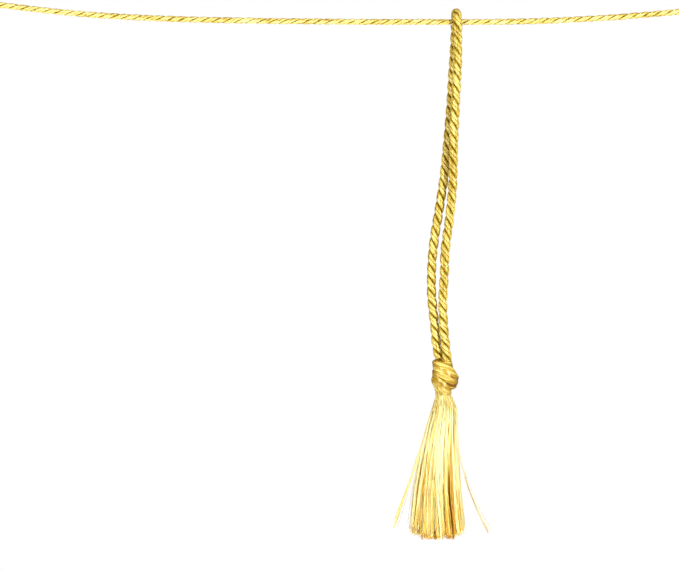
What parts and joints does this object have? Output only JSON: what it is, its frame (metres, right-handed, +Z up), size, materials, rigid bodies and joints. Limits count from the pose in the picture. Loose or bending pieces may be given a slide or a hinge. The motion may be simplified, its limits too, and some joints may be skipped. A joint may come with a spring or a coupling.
{
  "type": "silk tassel with a twisted cord loop, hung over a twisted hanging line",
  "caption": "Silk tassel with a knotted head and flared skirt, on a loop of twisted cord that hangs over a thin twisted line.",
  "frame": {"origin": "on the axis of the hanging line, where the tassel's loop crosses over it", "axes": "+Z up, +X along the hanging line to the viewer's right, the viewer looks along +Y"},
  "size_m": [0.2335, 0.0187, 0.1619],
  "materials": {
    "cord_silk": "two-ply twisted gold silk cord, soft sheen",
    "knot_silk": "loose gold silk drawn tight in a knot, bright sheen",
    "skirt_silk": "loose gold silk filaments, bright sheen",
    "line_silk": "thin two-ply twisted pale gold cord"
  },
  "bodies": {
    "root": {"loop_cord": "cord_silk", "knot": "knot_silk", "skirt": "skirt_silk", "line": "line_silk", "line_knot_left": "line_silk", "line_knot_right": "line_silk"}
  },
  "joints": []
}
